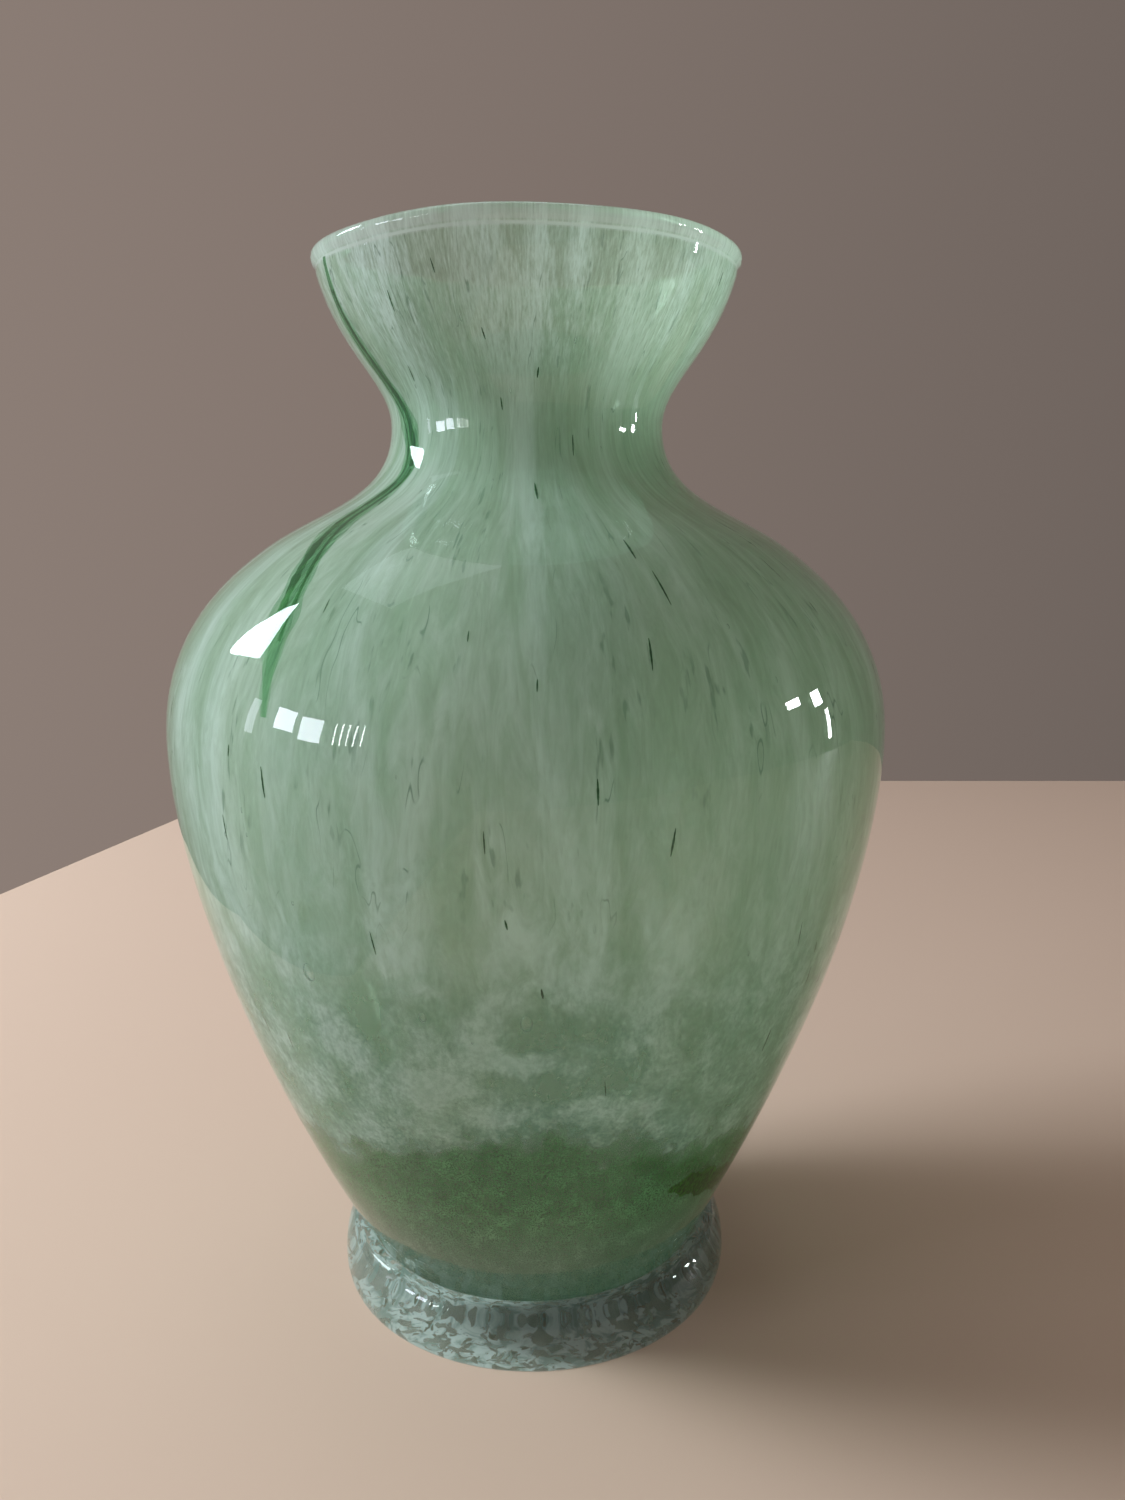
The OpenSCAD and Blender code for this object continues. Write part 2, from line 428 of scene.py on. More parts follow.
def spots(s, rows, ragged):
    """Soft patches at listed places: each row is an angle, a height, a half width and a half height."""
    z = s.height()
    place = s.place()
    total = 0.0
    for angle, height, half_w, half_h in rows:
        turn = math.radians(angle)
        sideways = (-math.sin(turn) * MM_PER_METRE, math.cos(turn) * MM_PER_METRE, 0.0)
        facing = s.vector("DOT_PRODUCT", place, (math.cos(turn), math.sin(turn), 0.0))
        u = s.math("DIVIDE", s.vector("DOT_PRODUCT", place, sideways), half_w)
        v = s.math("DIVIDE", s.math("SUBTRACT", z, height), half_h)
        far = s.math("SQRT", s.math("ADD", s.math("MULTIPLY", u, u), s.math("MULTIPLY", v, v)))
        patch = s.band(s.math("ADD", far, ragged), 1.25, 0.45)
        patch = s.math("MULTIPLY", patch, s.math("GREATER_THAN", facing, 0.0))
        total = s.math("MAXIMUM", total, patch)
    return total


# Patches in the low part of the frit: angle, height, half width, half height.
WHITE_LOBES = [(256, 81, 8, 4.5), (266, 75.5, 9, 4), (282, 76, 9, 4), (240, 88, 6, 7),
               (291, 75, 6, 3), (270, 89, 7, 3), (30, 80, 9, 5), (75, 76, 8, 4),
               (120, 83, 10, 5), (165, 78, 9, 5), (205, 82, 8, 5), (330, 79, 9, 4)]
DARK_PATCHES = [(265, 85, 5, 3), (276, 83, 8, 4), (289, 84, 9, 6), (256, 100, 5, 4),
                (275, 98, 12, 7), (246, 97, 5, 6), (300, 92, 8, 9), (50, 92, 9, 6),
                (95, 86, 8, 5), (145, 95, 9, 7), (190, 90, 8, 6), (350, 95, 9, 7)]

# The frit ends low at the sides and this much higher at the front.
FRONT_RISE = 18.0


def frit_edge(s):
    """Height of the frit's ragged lower edge."""
    wave = s.noise(s.flow(1, 1.0, 5.0), 6.0, 4.0, 0.62)
    front = s.math("MAXIMUM", s.math("MULTIPLY", s.part(s.flow(1, 0), "Y"), -1.0), 0.0)
    edge = s.math("MULTIPLY_ADD", wave, 34.0, 33.0)
    return s.math("MULTIPLY_ADD", s.math("POWER", front, 4.0), FRONT_RISE, edge)


def pale_frit():
    s = Shader("pale_frit")
    z = s.height()
    low = s.band(z, 122.0, 90.0)
    mouth = s.band(z, 207.0, 234.0)
    down = s.below_lip()
    # The frit is pale in about the top millimetre of the lip. A thin line about 1.9 mm below the crest is
    # a painted highlight.
    lip = s.band(down, 1.5, 0.9)
    painted_lip_highlight = s.band(s.math("ABSOLUTE", s.math("SUBTRACT", down, 1.9)), 0.9, 0.2)
    drawn = wandering(s, s.flow(1, 0.9), 0.10)
    fine = wandering(s, s.flow(1, 1.1, 4.0), 0.05, 5.0)
    bands = s.noise(drawn, 5.0, 3.0, 0.5, 0.8)
    streaks = s.noise(drawn, 20.0, 4.0, 0.65, 0.9)
    fibres = s.noise(fine, 85.0, 3.0, 0.65)
    clouds = s.noise(fine, 7.0, 4.0, 0.55, 0.5)
    ragged = s.math("MULTIPLY_ADD", s.noise(fine, 20.0, 3.0, 0.55), 1.2, -0.6)
    lines = s.math("MULTIPLY", veins(s, drawn, 11.0, 0.009, 17.0, 0.56), s.band(z, 110.0, 130.0))
    dashes = s.band(s.noise(drawn, 46.0, 2.0, 0.5), 0.61, 0.70)
    dashes = s.math("MULTIPLY", dashes, s.band(s.noise(drawn, 7.0, 1.0), 0.49, 0.62))
    dashes = s.math("MULTIPLY", dashes, s.band(z, 112.0, 132.0))
    lines = s.math("MAXIMUM", lines, s.math("MULTIPLY", dashes, 0.75))
    fibre_gain = s.math("MULTIPLY_ADD", mouth, 1.2, 0.3)
    tone = s.math("MULTIPLY_ADD", bands, 1.8, -0.9)
    tone = s.math("ADD", tone, s.math("MULTIPLY_ADD", streaks, 1.1, -0.55))
    tone = s.math("ADD", tone, s.math("MULTIPLY", s.math("SUBTRACT", fibres, 0.5), fibre_gain))
    crumbs = s.noise(fine, 55.0, 3.0, 0.65)
    cloud_tone = s.math("MULTIPLY_ADD", clouds, 2.6, -1.3)
    cloud_tone = s.math("ADD", cloud_tone, s.math("MULTIPLY_ADD", crumbs, 0.9, -0.45))
    cloud_tone = s.math("MULTIPLY_ADD", spots(s, WHITE_LOBES, ragged), 0.55, cloud_tone)
    cloud_tone = s.math("MULTIPLY_ADD", spots(s, DARK_PATCHES, ragged), -0.38, cloud_tone)
    tone = s.math("MULTIPLY_ADD", cloud_tone, low, tone)
    crumbly = s.blend(s.band(crumbs, 0.30, 0.68), (0.40, 0.55, 0.49), (0.62, 0.76, 0.71))
    # Painted light: the frit is painted paler in the mouth, for the light that falls into it.
    pale = s.blend(mouth, (0.80, 0.91, 0.87), (0.90, 1.0, 0.99))
    pale = s.blend(low, pale, crumbly)
    deep = s.blend(low, (0.46, 0.59, 0.48), (0.24, 0.42, 0.34))
    colour = s.blend(s.band(tone, -0.6, 0.6), deep, pale)
    warmth = s.band(s.noise(s.flow(1, 0.5, 7.0), 2.4, 2.0), 0.45, 0.62, 0.0, 0.24)
    colour = s.blend(warmth, colour, (0.56, 0.62, 0.46))
    # Painted shade: the frit is painted darker round the neck.
    neck = s.math("MULTIPLY", s.band(z, 190.0, 210.0), s.band(z, 236.0, 220.0))
    colour = s.blend(s.math("MULTIPLY", neck, 0.32), colour, (0.30, 0.46, 0.33))
    colour = s.blend(s.math("MULTIPLY", lines, 0.75), colour, (0.12, 0.22, 0.16))
    # Paint the lip pale, and the painted highlight line below it near white.
    colour = s.blend(s.math("MAXIMUM", lip, painted_lip_highlight), colour, (0.90, 0.96, 0.95))
    coverage = s.band(tone, -0.8, 0.7, 0.42, 0.90)
    coverage = s.math("MAXIMUM", coverage, s.math("MULTIPLY", lines, 0.8))
    coverage = s.math("MULTIPLY", coverage, s.math("MULTIPLY_ADD", lip, -0.12, 1.0))
    # The painted highlight line is made mostly opaque.
    coverage = s.math("MAXIMUM", coverage, s.math("MULTIPLY", painted_lip_highlight, 0.72))
    above = s.math("SUBTRACT", z, frit_edge(s))
    coverage = s.math("MULTIPLY", coverage, s.band(above, -3.5, 5.0))
    return cloudy(s, colour, coverage, (0.90, 0.95, 0.91))


# The dark wedge at the right of the belt, as angle, height, half width and half height.
WEDGE = [(297, 58, 8, 4), (310, 52, 13, 5)]


def green_ground():
    s = Shader("green_ground")
    z = s.height()
    specks = s.noise(s.flow(1, 1, 2.0), 150.0, 2.0, 0.6)
    patches = s.noise(s.flow(1, 1, 9.0), 12.0, 4.0, 0.6)
    low = s.band(s.math("SUBTRACT", z, frit_edge(s)), 12.0, -6.0)
    grey = s.band(z, 46.0, 18.0)
    colour = s.blend(grey, (0.17, 0.38, 0.18), (0.27, 0.37, 0.27))
    colour = s.blend(s.band(patches, 0.35, 0.7), (0.10, 0.25, 0.11), colour)
    colour = s.blend(s.band(specks, 0.36, 0.60), (0.05, 0.14, 0.06), colour)
    colour = s.blend(s.math("MULTIPLY", grey, 0.7), colour, (0.19, 0.27, 0.21))
    wedge = spots(s, WEDGE, s.math("MULTIPLY_ADD", patches, 0.8, -0.4))
    colour = s.blend(s.math("MULTIPLY", wedge, 0.7), colour, (0.05, 0.17, 0.05))
    colour = s.blend(low, (0.48, 0.60, 0.47), colour)
    grain = s.math("ADD", s.math("MULTIPLY_ADD", specks, 0.7, -0.35),
                   s.math("MULTIPLY_ADD", patches, 0.6, -0.3))
    low_cover = s.math("ADD", grain, 0.78, clamp=True)
    coverage = s.math("ADD", s.math("MULTIPLY", low, low_cover),
                      s.math("MULTIPLY", s.math("SUBTRACT", 1.0, low), 0.30))
    return cloudy(s, colour, coverage, (0.85, 0.94, 0.84))


def foot_film():
    """The mottled frit and trapped air between the body and the foot, and under it."""
    s = Shader("foot_film")
    place = s.place()
    z = s.height()
    swirl = wandering(s, s.vector("MULTIPLY", place, (1.0, 1.0, 0.45)), 0.010, 90.0)
    mottle = s.noise(swirl, 210.0, 4.0, 0.6, 0.6)
    marks = s.noise(swirl, 420.0, 2.0, 0.5, 0.6)
    sparks = s.noise(wandering(s, place, 0.006, 200.0), 260.0, 2.0, 0.5, 1.0)
    under = s.band(z, 5.0, 2.0)
    pale = s.blend(under, (0.92, 1.0, 1.0), (0.64, 0.80, 0.80))
    deep = s.blend(under, (0.20, 0.36, 0.32), (0.26, 0.40, 0.37))
    colour = s.blend(s.band(mottle, 0.39, 0.57), deep, pale)
    colour = s.blend(s.band(marks, 0.61, 0.66), colour, (0.03, 0.09, 0.06))
    silver = s.band(sparks, 0.50, 0.56, 0.0, 0.85)
    coverage = s.math("MULTIPLY_ADD", under, -0.38, 0.95)
    return cloudy(s, colour, coverage, (0.80, 0.90, 0.86), glow=0.25, silver=silver)


def dark_glass(name, deep, light, coverage, through=(0.25, 0.55, 0.30), fades=None):
    """Dark pigment in fibres; fades holds the heights where it is gone and where it is full."""
    s = Shader(name)
    fibres = s.noise(s.flow(1, 0.6, 1.0), 90.0, 2.0, 0.6)
    blots = s.noise(s.flow(1, 0.9, 6.0), 38.0, 3.0, 0.6)
    colour = s.blend(s.band(fibres, 0.35, 0.7), deep, light)
    if fades:
        patchy = s.band(s.math("ADD", s.math("MULTIPLY", blots, 0.6), s.math("MULTIPLY", fibres, 0.4)),
                        0.36, 0.60, 0.30, 1.25)
        full = s.band(s.height(), fades[0], fades[1], 0.15, 1.0)
        coverage = s.math("MULTIPLY", s.math("MULTIPLY", patchy, full), coverage, clamp=True)
    return cloudy(s, colour, coverage, through)


SKIN = polished_glass("clear_glass", (0.97, 0.99, 0.98), (0.93, 0.96, 0.94), ripple=0.00008)
FOOT_SKIN = polished_glass("foot_glass", (0.985, 1.0, 0.995), (0.985, 1.0, 0.995), ripple=0.0002)
FUSED = fused_face()
FRIT = pale_frit()
GROUND = green_ground()
FOOT_FILM = foot_film()
TRAIL_GLASS = dark_glass("trail_glass", (0.03, 0.14, 0.07), (0.09, 0.28, 0.15), 0.46,
                         (0.72, 0.88, 0.76), fades=(172, 190))
TRAIL_HAZE = dark_glass("trail_haze_glass", (0.08, 0.28, 0.15), (0.18, 0.42, 0.26), 0.15,
                        (0.93, 0.98, 0.94), fades=(150, 190))
FLECK = dark_glass("fleck_glass", (0.07, 0.15, 0.10), (0.14, 0.28, 0.18), 0.40)
CHIP = dark_glass("chip_glass", (0.006, 0.09, 0.008), (0.04, 0.36, 0.02), 0.97)

# ---------------------------------------------------------------- the layers

# A bead swells the lip. The groove below it has a depth, a distance below the crest and a width.
BEAD = 0.3
CREASE, CREASE_AT, CREASE_W = 0.3, 3.7, 0.7
# How far the coloured layers run up into the rounding of the lip.
LIP_COLOUR = 0.85
# The frit's mesh starts about where the last of its ragged edge fades out.
FRIT_END = index_at(44)


def slots_for(*runs):
    """A slot for each stretch of a path, from (slot, stretches) runs."""
    return [slot for slot, count in runs for _ in range(count)]


def lip_round(steps=12):
    middle = LIP + LIP_T / 2 * INWARD[LAST]
    half = (LIP_T + BEAD) / 2
    rows = []
    for i in range(1, steps):
        turn = math.pi * i / steps
        reach = LIP_T / 2 * math.sin(turn) * LIP_WAY - half * math.cos(turn) * INWARD[LAST]
        rows.append([*(middle + BEAD / 2 * OUT + reach), GRAIN[LAST] + 0.001 * i])
    return np.array(rows)


def into_lip(share, reach):
    """A row past the end of the outline, inside the rounding of the lip."""
    row = skin(share, LAST, LAST)
    row[0, :2] += reach * LIP_WAY
    return row


def layer(outer, inner, first=0, tall=True):
    """Path of a layer between two shares, that ends at the lip or runs up into it."""
    rise, fall = skin(outer, first, LAST), skin(inner, first, LAST)[::-1]
    if not tall:
        return np.vstack([rise, fall])
    return np.vstack([rise, into_lip(outer, LIP_COLOUR), into_lip(inner, LIP_COLOUR), fall])


def casing_shape():
    outer = skin(0.0, 0, LAST)
    below_lip = TOTAL_H - outer[:, 1]
    outer[:, 0] += BEAD * smoothstep(CREASE_AT, CREASE_AT - 1, below_lip)
    outer[:, 0] -= CREASE * np.exp(-((below_lip - CREASE_AT) / CREASE_W)**2)
    crest = lip_round()
    hook = skin(1.0, LAST, LAST)
    pocket = np.vstack([skin(LINING_OUT, LAST, LAST), into_lip(LINING_OUT, 1.0),
                        into_lip(CASING_IN, 1.0)])
    inner = skin(CASING_IN, 0, LAST)[::-1]
    path = np.vstack([outer, crest, hook, pocket, inner])
    buried = BASE_STEPS
    polished = len(outer) + len(crest) + len(hook) - 1 - buried
    return lathe(path, slots_for((1, buried), (0, polished), (1, len(pocket) + len(inner))))


def bubble(angle, z, share, half_w, half_h, half_d, segments=16, rings=9):
    """A hollow in the glass: a flattened, drawn-out ball with its faces turned inwards."""
    centre = place_in_wall(angle, z, share)
    out = np.array([math.cos(angle), math.sin(angle), 0.0])
    side = np.array([-math.sin(angle), math.cos(angle), 0.0])
    lean = at_height(-INWARD[:, 1], z)
    rise = np.array([0, 0, 1.0]) - lean * out
    rise /= np.linalg.norm(rise)
    depth = np.cross(side, rise)
    points = [centre + rise * half_h * MM]
    for i in range(1, rings):
        lat = math.pi * i / rings
        for k in range(segments):
            lon = 2 * math.pi * k / segments
            points.append(centre + MM * (
                rise * half_h * math.cos(lat)
                + side * half_w * math.sin(lat) * math.cos(lon)
                + depth * half_d * math.sin(lat) * math.sin(lon)))
    points.append(centre - rise * half_h * MM)
    faces = []
    for k in range(segments):
        n = (k + 1) % segments
        faces.append((0, 1 + k, 1 + n))
        for i in range(rings - 2):
            a, b = 1 + i * segments, 1 + (i + 1) * segments
            faces.append((a + k, b + k, b + n, a + n))
        last = 1 + (rings - 2) * segments
        faces.append((last + k, len(points) - 1, last + n))
    points = np.array(points)
    if signed_volume(points - centre, faces) > 0:
        faces = flipped(faces)
    grain = float(at_height(GRAIN, z))
    flow = np.tile([math.cos(angle), math.sin(angle), grain], (len(points), 1))
    return points, faces, [0] * len(faces), flow


# Bubbles large enough to be seen one by one: angle, height, half width, half height.
LARGE_BUBBLES = [(238, 105, 1.5, 2.1), (271, 98.5, 1.2, 2.0), (256, 99, 0.8, 1.3),
                 (120, 88, 1.3, 1.8), (35, 112, 1.1, 1.9), (330, 92, 0.9, 1.4)]
SEED_COUNT = 70

bubbles = [bubble(math.radians(a), z, 0.25, w, h, 0.35) for a, z, w, h in LARGE_BUBBLES]
for _ in range(SEED_COUNT):
    size = random.uniform(0.12, 0.3)
    bubbles.append(bubble(random.uniform(0, 2 * math.pi), random.uniform(25, 240),
                          random.uniform(0.2, 0.36), size, size * random.uniform(1.2, 3.5),
                          size * 0.8, segments=10, rings=6))

points, faces, slots, flow = casing_shape()
if signed_volume(points, faces) < 0:
    faces = flipped(faces)
make_piece("casing", *joined([(points, faces, slots, flow)] + bubbles),
           [SKIN, FUSED], "outer_casing", "clear_glass")

make_piece(
    "lining", *lathe(layer(LINING_OUT, 1.0, tall=False), slots_for((1, LAST + 1), (0, LAST))),
    [SKIN, FUSED], "clear_lining", "lining_glass")

ground_path = layer(GROUND_OUT, GROUND_IN)
ground_path[:FRIT_END + 1] = skin(GROUND_LOW_OUT, 0, FRIT_END)
make_piece("ground", *lathe(ground_path, slots_for((0, LAST + 2), (1, LAST + 1))),
           [GROUND, FUSED], "green_ground", "green_glass")

frit_rows = LAST - FRIT_END
make_piece("frit", *lathe(layer(FRIT_OUT, FRIT_IN, FRIT_END),
                          slots_for((0, frit_rows + 2), (1, frit_rows + 2)), ring=True),
           [FRIT, FUSED], "pale_frit", "pale_frit")

# ---------------------------------------------------------------- dark pieces


def eased(values, reach=3):
    """Rounds off the corners of a list of values."""
    padded = np.pad(values, reach, mode="edge")
    return np.convolve(padded, np.ones(2 * reach + 1) / (2 * reach + 1), mode="valid")


def ribbon(path, steps, across=9, phase=0.0, shares=CORE, upright=True):
    """A closed strand along rows of [height, angle, half width], thin at its edges.

    The width of an upright strand is measured round the vase, that of any other up it.
    """
    rows = np.array(path, float)
    at = np.linspace(0, len(rows) - 1, steps)
    zs, angles, half = (eased(np.interp(at, np.arange(len(rows)), rows[:, k])) for k in range(3))
    way = np.arange(steps) / steps * 30
    half = half * (1 + 0.18 * np.sin(way + phase) + 0.1 * np.sin(way * 2.6 + 2 * phase))
    share = (shares[0] + shares[1]) / 2
    swell = (shares[1] - shares[0]) / 2
    place = np.linspace(-1, 1, across)
    lens = np.maximum(np.sqrt(1 - place**2), 0.02)
    points, flow = [], []
    for side in (-1, 1):
        for z, angle, wide in zip(zs, angles, half):
            turns = np.full(across, math.radians(angle))
            heights = np.full(across, z)
            if upright:
                turns = turns + place * wide / at_height(OUTLINE[:, 0], z)
            else:
                heights = heights + place * wide
            for t, h, thick in zip(turns, heights, lens):
                points.append(place_in_wall(t, h, share + side * swell * thick))
                flow.append([math.cos(t), math.sin(t), float(at_height(GRAIN, h))])
    faces = []
    size = steps * across
    for i in range(steps - 1):
        for k in range(across - 1):
            a = i * across + k
            faces.append((a, a + 1, a + across + 1, a + across))
            faces.append((a + size, a + size + across, a + size + across + 1, a + size + 1))
        for k in (0, across - 1):
            a = i * across + k
            wall = (a, a + across, a + across + size, a + size)
            faces.append(wall if k == 0 else wall[::-1])
    for k in range(across - 1):
        for i in (0, steps - 1):
            a = i * across + k
            wall = (a, a + size, a + size + 1, a + 1)
            faces.append(wall if i == 0 else wall[::-1])
    return np.array(points), faces, [0] * len(faces), np.array(flow)


# The trail leans round the wall from the left shoulder over the neck to the lip, by much the
# same route as in the CAD part. Each row: height, angle, half width.
TRAIL = [(BELLY[1] + 12, 234, 0.6), (BELLY[1] + 25, 232, 2.1), (BELLY[1] + 38, 228, 3.1),
         (BELLY[1] + 45, 223, 3.1), (NECK[1] - 20, 218, 2.7), (NECK[1] - 10, 220, 2.2),
         (NECK[1], 212, 2.3), (NECK[1] + 9, 204, 2.4), (NECK[1] + 22, 203, 1.9),
         (TOTAL_H - 3, 206, 0.6)]
TRAIL_FOOT, TRAIL_TOP = TRAIL[0][0], TRAIL[-1][0]


def trail_at(z, column):
    """A column of the trail's rows at a height, on a cubic curve through them."""
    rows = np.array(TRAIL)
    heights, values = rows[:, 0], rows[:, column]
    slopes = np.gradient(values, heights)
    i = min(max(int(np.searchsorted(heights, z)) - 1, 0), len(rows) - 2)
    rise = heights[i + 1] - heights[i]
    t = (z - heights[i]) / rise
    s = 1 - t
    return float(s**2 * ((1 + 2 * t) * values[i] + t * rise * slopes[i])
                 + t**2 * ((1 + 2 * s) * values[i + 1] - s * rise * slopes[i + 1]))


def strand(shift, width, low, high, phase, shares=CORE):
    """The trail between two heights, moved sideways by a share of its half width."""
    rows = []
    for z in np.linspace(low, high, 40):
        radius = float(at_height(OUTLINE[:, 0], z))
        half = trail_at(z, 2)
        rows.append((z, trail_at(z, 1) + math.degrees(shift * half / radius), half * width))
    return ribbon(rows, 110, phase=phase, shares=shares)


make_piece(
    "trail", *joined([strand(-0.50, 0.36, 175, 201, 0.4), strand(-0.62, 0.13, 198, TRAIL_TOP, 2.4),
                      strand(0.55, 0.16, 170, 204, 1.7), strand(0.35, 0.38, 204, 242, 2.9)]),
    [TRAIL_GLASS], "dark_trail", "dark_green_glass", sharp=60)
hazes = [strand(0.08 * k, 1.35 - 0.35 * k, TRAIL_FOOT, TRAIL_TOP, 2.2 + k, shares=shares)
         for k, shares in enumerate(HAZES)]
make_piece("trail_haze", *joined(hazes), [TRAIL_HAZE], "dark_trail", "dark_green_glass", sharp=60)


def fleck(angle, z, half_w, half_h, lean):
    """A sliver of dark frit, drawn out along the wall."""
    rows = []
    for i in range(7):
        t = i / 6 * 2 - 1
        rows.append((z + t * half_h, math.degrees(angle) + lean * t, half_w * (1 - t * t) + 0.03))
    return ribbon(rows, 13, across=5, phase=angle)


# Flecks are spread over the wall by the golden ratio, and are shorter from the shoulder up.
FLECK_COUNT = 110
FLECK_LOW, FLECK_SPAN, GOLDEN = 80, 165, 0.618034
FLECK_SHORT_FROM = 187
slivers = []
for k in range(FLECK_COUNT):
    z = FLECK_LOW + FLECK_SPAN * ((k * GOLDEN) % 1.0)
    half_h = random.uniform(0.8, 3.6 if z < FLECK_SHORT_FROM else 2.4)
    slivers.append(fleck(random.uniform(0, 2 * math.pi), z, random.uniform(0.08, 0.24), half_h,
                         random.uniform(-0.35, 0.35)))
make_piece("flecks", *joined(slivers), [FLECK], "dark_flecks", "dark_green_glass", sharp=60)

# The chip lies low on the right of the front. Each row: height, angle, half width.
CHIP_ROWS = [(45.0, 303.5, 0.3), (44.8, 307, 2.2), (43.8, 312, 4.2), (41.0, 319, 4.2),
             (38.5, 326, 3.8), (37.0, 333, 2.8), (36.0, 341, 0.4)]
make_piece("chip", *ribbon(CHIP_ROWS, 34, across=13, phase=0.8, upright=False), [CHIP],
           "dark_chip", "dark_green_glass", sharp=60)

# ---------------------------------------------------------------- the foot

FOOT_R, EDGE_Z, EDGE_IN = 50.0, 4.5, 1.6
CREST_R = WAIST_R + 2.6
PONTIL_R, PONTIL_DEPTH = 17.0, 1.5
# The foot stays clear of the body by a share of the wall; its edge waves by some tenths of a mm.
FILM_GAP = 0.006
FOOT_WAVE = 0.14


def foot_shape():
    quarter = np.linspace(0, math.pi / 2, 15)[1:]
    dome = (PONTIL_R**2 + PONTIL_DEPTH**2) / (2 * PONTIL_DEPTH)
    pontil = [(r, PONTIL_DEPTH - dome + math.sqrt(dome**2 - r**2))
              for r in np.linspace(0, PONTIL_R, 13)]
    flat = [(r, 0.0) for r in np.linspace(PONTIL_R, FOOT_R - EDGE_IN, 9)[1:]]
    under = [(FOOT_R - EDGE_IN * (1 - math.sin(a)), EDGE_Z * (1 - math.cos(a))) for a in quarter]
    upper = [(CREST_R + (FOOT_R - CREST_R) * math.cos(a), EDGE_Z + (FOOT_H - EDGE_Z) * math.sin(a))
             for a in quarter]
    crease = [(CREST_R - (CREST_R - WAIST_R) * math.sin(a),
               FOOT_H - (FOOT_H - WAIST[1]) * (1 - math.cos(a))) for a in quarter]
    shown = pontil + flat + under + upper + crease
    recess = skin(-FILM_GAP, 0, BASE_STEPS - 1)[::-1]
    path = np.array([(r, z, (r + z) / GRAIN_R) for r, z in shown])
    path = np.vstack([path, recess])
    hidden = len(pontil + flat) - 1
    points, faces, slots, flow = lathe(
        path, slots_for((1, hidden), (0, len(shown) - hidden - 1), (1, len(recess))))
    angle = np.arctan2(points[:, 1], points[:, 0])
    r = np.hypot(points[:, 0], points[:, 1])
    z = points[:, 2]
    swell = (np.sin(11 * angle + 0.4 * z) + 0.7 * np.sin(17 * angle - 0.5 * z + 1.3)
             + 0.5 * np.sin(29 * angle + 0.9 * z + 0.6))
    scale = 1 + FOOT_WAVE * swell * smoothstep(CREST_R, FOOT_R - 1, r) * smoothstep(0.2, 3, z) / FOOT_R
    points[:, :2] *= scale[:, None]
    return points, faces, slots, flow


make_piece("foot", *foot_shape(), [FOOT_SKIN, FOOT_FILM], "clear_foot", "foot_glass")

# ---------------------------------------------------------------- studio

# Lights stand round a point in the middle of the vase, at one of two distances from it.
TARGET = Vector((0, 0, 0.13))
NEAR, FAR = 1.5, 2.0
DAYLIGHT = (0.93, 0.97, 1.0)
COOL = (0.84, 0.95, 1.0)
SKY = (0.84, 0.85, 1.0)


def matt_table():
    s = Shader("table_top")
    made = s.node("ShaderNodeBsdfPrincipled", {"Base Color": (0.66, 0.485, 0.385), "Roughness": 0.45})
    return s.done(made.outputs[0])


def table_top():
    """A plain board whose left and far edges show behind the vase."""
    corners = [(-0.21, 0.557), (-0.285, 0.29), (-0.25, 0.03), (-0.14, -0.12), (-0.12, -0.6),
               (0.9, -0.6), (1.3, -0.2), (1.3, 0.557)]
    top, thick = -0.0003, 0.03
    count = len(corners)
    points = [(x, y, z) for z in (top, top - thick) for x, y in corners]
    faces = [tuple(range(count)), tuple(reversed(range(count, 2 * count)))]
    faces += [(i, i + count, (i + 1) % count + count, (i + 1) % count) for i in range(count)]
    mesh = bpy.data.meshes.new("table")
    mesh.from_pydata(points, [], faces)
    mesh.materials.append(matt_table())
    table = bpy.data.objects.new("table", mesh)
    bpy.context.scene.collection.objects.link(table)


def area_light(name, size, power, colour):
    data = bpy.data.lights.new(name, "AREA")
    data.shape = "RECTANGLE"
    data.size, data.size_y = size
    data.energy = power
    data.color = colour
    light = bpy.data.objects.new(name, data)
    bpy.context.scene.collection.objects.link(light)
    return light


def softbox(name, azimuth, elevation, distance, size, power, colour, mirrored=True):
    """A soft light at a bearing from the vase, counted from +X towards +Y.

    A light that isn't mirrored lights the glass but doesn't show as a highlight in it.
    """
    a, e = math.radians(azimuth), math.radians(elevation)
    way = Vector((math.cos(a) * math.cos(e), math.sin(a) * math.cos(e), math.sin(e)))
    light = area_light(name, size, power, colour)
    light.location = TARGET + way * distance
    light.rotation_euler = (-way).to_track_quat("-Z", "Y").to_euler()
    light.visible_glossy = mirrored
    light.visible_transmission = mirrored
    return light


def glint(name, azimuth, elevation, size, power):
    """A far light that is only seen as a highlight in the glass."""
    light = softbox(name, azimuth, elevation, FAR, size, power, DAYLIGHT)
    light.visible_diffuse = False


def fin_shaped(light):
    """Masks a light to a fin: full below, drawn to a tip at one upper corner."""
    light.data.use_nodes = True
    s = Nodes(light.data.node_tree)
    spot = s.node("ShaderNodeNewGeometry").outputs["Parametric"]
    u, v = s.part(spot, "X"), s.part(spot, "Y")
    taper = s.math("POWER", s.math("MAXIMUM", s.math("MULTIPLY_ADD", v, 1.43, -0.43), 0.0), 1.6)
    inside = s.math("LESS_THAN", s.math("ADD", u, taper), 1.0)
    above = s.math("GREATER_THAN", v, s.math("MULTIPLY_ADD", u, 0.33, -0.05))
    s.put(s.tree.nodes["Emission"].inputs["Strength"], s.math("MULTIPLY", inside, above))


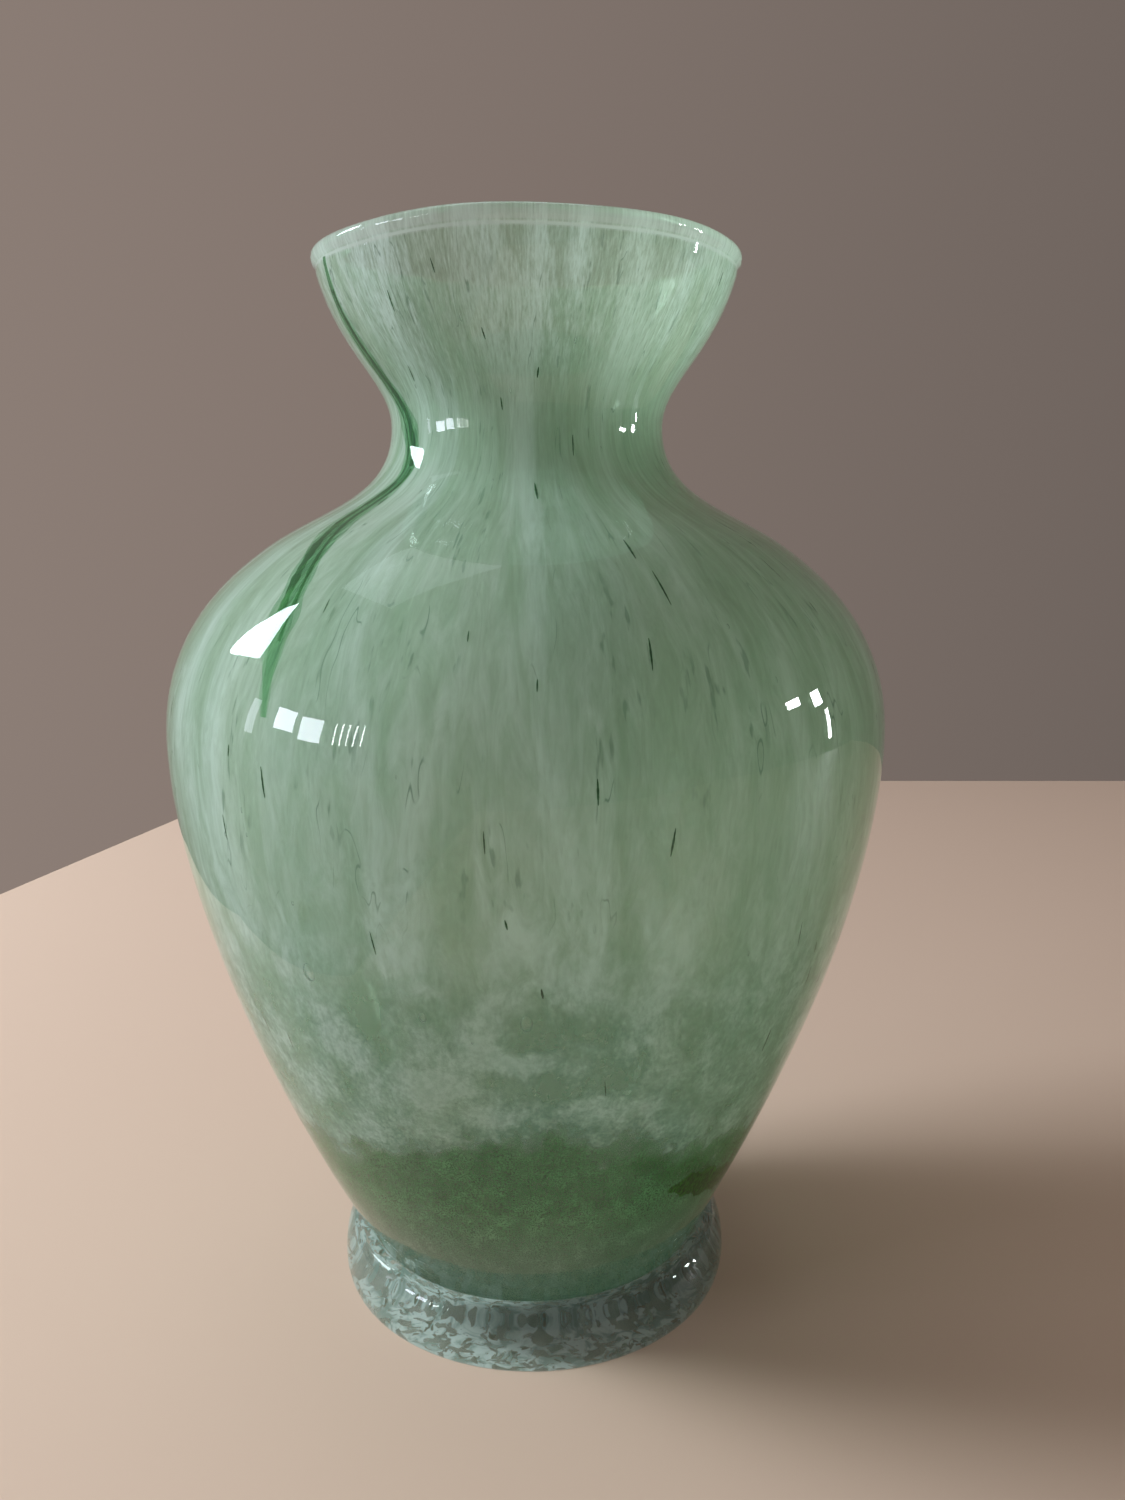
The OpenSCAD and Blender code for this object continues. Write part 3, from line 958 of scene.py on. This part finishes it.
def ceiling_panel(place, size, turn, power):
    """A panel overhead that faces straight down."""
    light = area_light("ceiling", size, power, COOL)
    light.location = place
    light.rotation_euler = (0, 0, math.radians(turn))


def room():
    """A dim warm room, lighter on the window's side."""
    world = bpy.data.worlds.new("room")
    world.use_nodes = True
    s = Nodes(world.node_tree)
    x = s.part(s.node("ShaderNodeTexCoord").outputs["Generated"], "X")
    fade = s.node("ShaderNodeMapRange", {"Value": x, "From Min": -0.45, "From Max": 0.45}).outputs[0]
    colour = s.blend(fade, (0.262, 0.208, 0.181), (0.158, 0.128, 0.113))
    s.put(s.tree.nodes["Background"].inputs["Color"], colour)
    bpy.context.scene.world = world


def studio():
    table_top()
    room()
    softbox("side", 176, 27, NEAR, (0.5, 0.5), 26, COOL, mirrored=False)
    softbox("front", 258, 4, NEAR, (0.9, 0.3), 4.2, COOL, mirrored=False)
    fin_shaped(softbox("key", 164.5, 31.6, NEAR, (0.37, 0.56), 9, COOL))
    softbox("window_a", 196.6, 12.1, FAR, (0.27, 0.28), 3.7, SKY)
    softbox("window_b", 206.6, 10.9, FAR, (0.25, 0.32), 3.7, SKY)
    softbox("window_side", 183, 9.5, FAR, (0.10, 0.42), 0.6, SKY)
    for k in range(5):
        glint(f"blind_{k}", 214.5 + 2.2 * k, 11.0 + 0.2 * k, (0.012, 0.30), 0.34)
    glint("right_a", 358, 13, (0.20, 0.10), 3.0)
    glint("right_b", 9, 11, (0.15, 0.17), 3.4)
    glint("right_c", 12, 2, (0.06, 0.30), 2.4)
    ceiling_panel((-0.30, 0.46, 1.45), (1.2, 0.58), 24, 2.2)


def camera():
    data = bpy.data.cameras.new("camera")
    data.lens = 28.08
    data.clip_start, data.clip_end = 0.01, 20
    made = bpy.data.objects.new("camera", data)
    made.location = (0.0082, -0.2842, 0.194)
    made.rotation_euler = (math.radians(90 - 11.49), 0, 0)
    bpy.context.scene.collection.objects.link(made)
    bpy.context.scene.camera = made


studio()
camera()
scene = bpy.context.scene
scene.view_settings.view_transform = "Standard"
scene.cycles.transparent_max_bounces = 64
